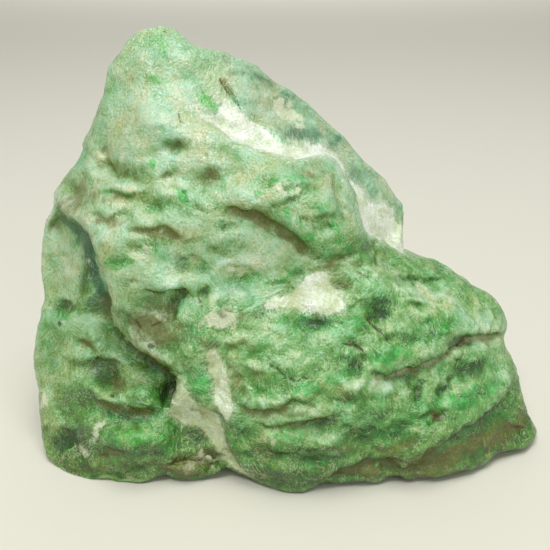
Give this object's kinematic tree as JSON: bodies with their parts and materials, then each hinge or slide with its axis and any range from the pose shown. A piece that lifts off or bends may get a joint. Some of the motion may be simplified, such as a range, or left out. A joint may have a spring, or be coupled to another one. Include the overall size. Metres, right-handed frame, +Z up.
{
  "type": "raw jade boulder",
  "caption": "Raw jade boulder: one lump of green jadeite with white veins, folded and pitted all over, standing on its own underside.",
  "frame": {"origin": "on the floor, under the middle of the boulder's box", "axes": "+Z up, the folded and veined front faces -Y, +X to the right as seen from the front"},
  "size_m": [0.1478, 0.0964, 0.1125],
  "materials": {
    "jadeite": "raw jadeite: waxy, half glossy, mottled pale to emerald green with cream-white veins and olive-brown seams"
  },
  "bodies": {
    "root": {"jade_boulder": "jadeite"}
  },
  "joints": []
}
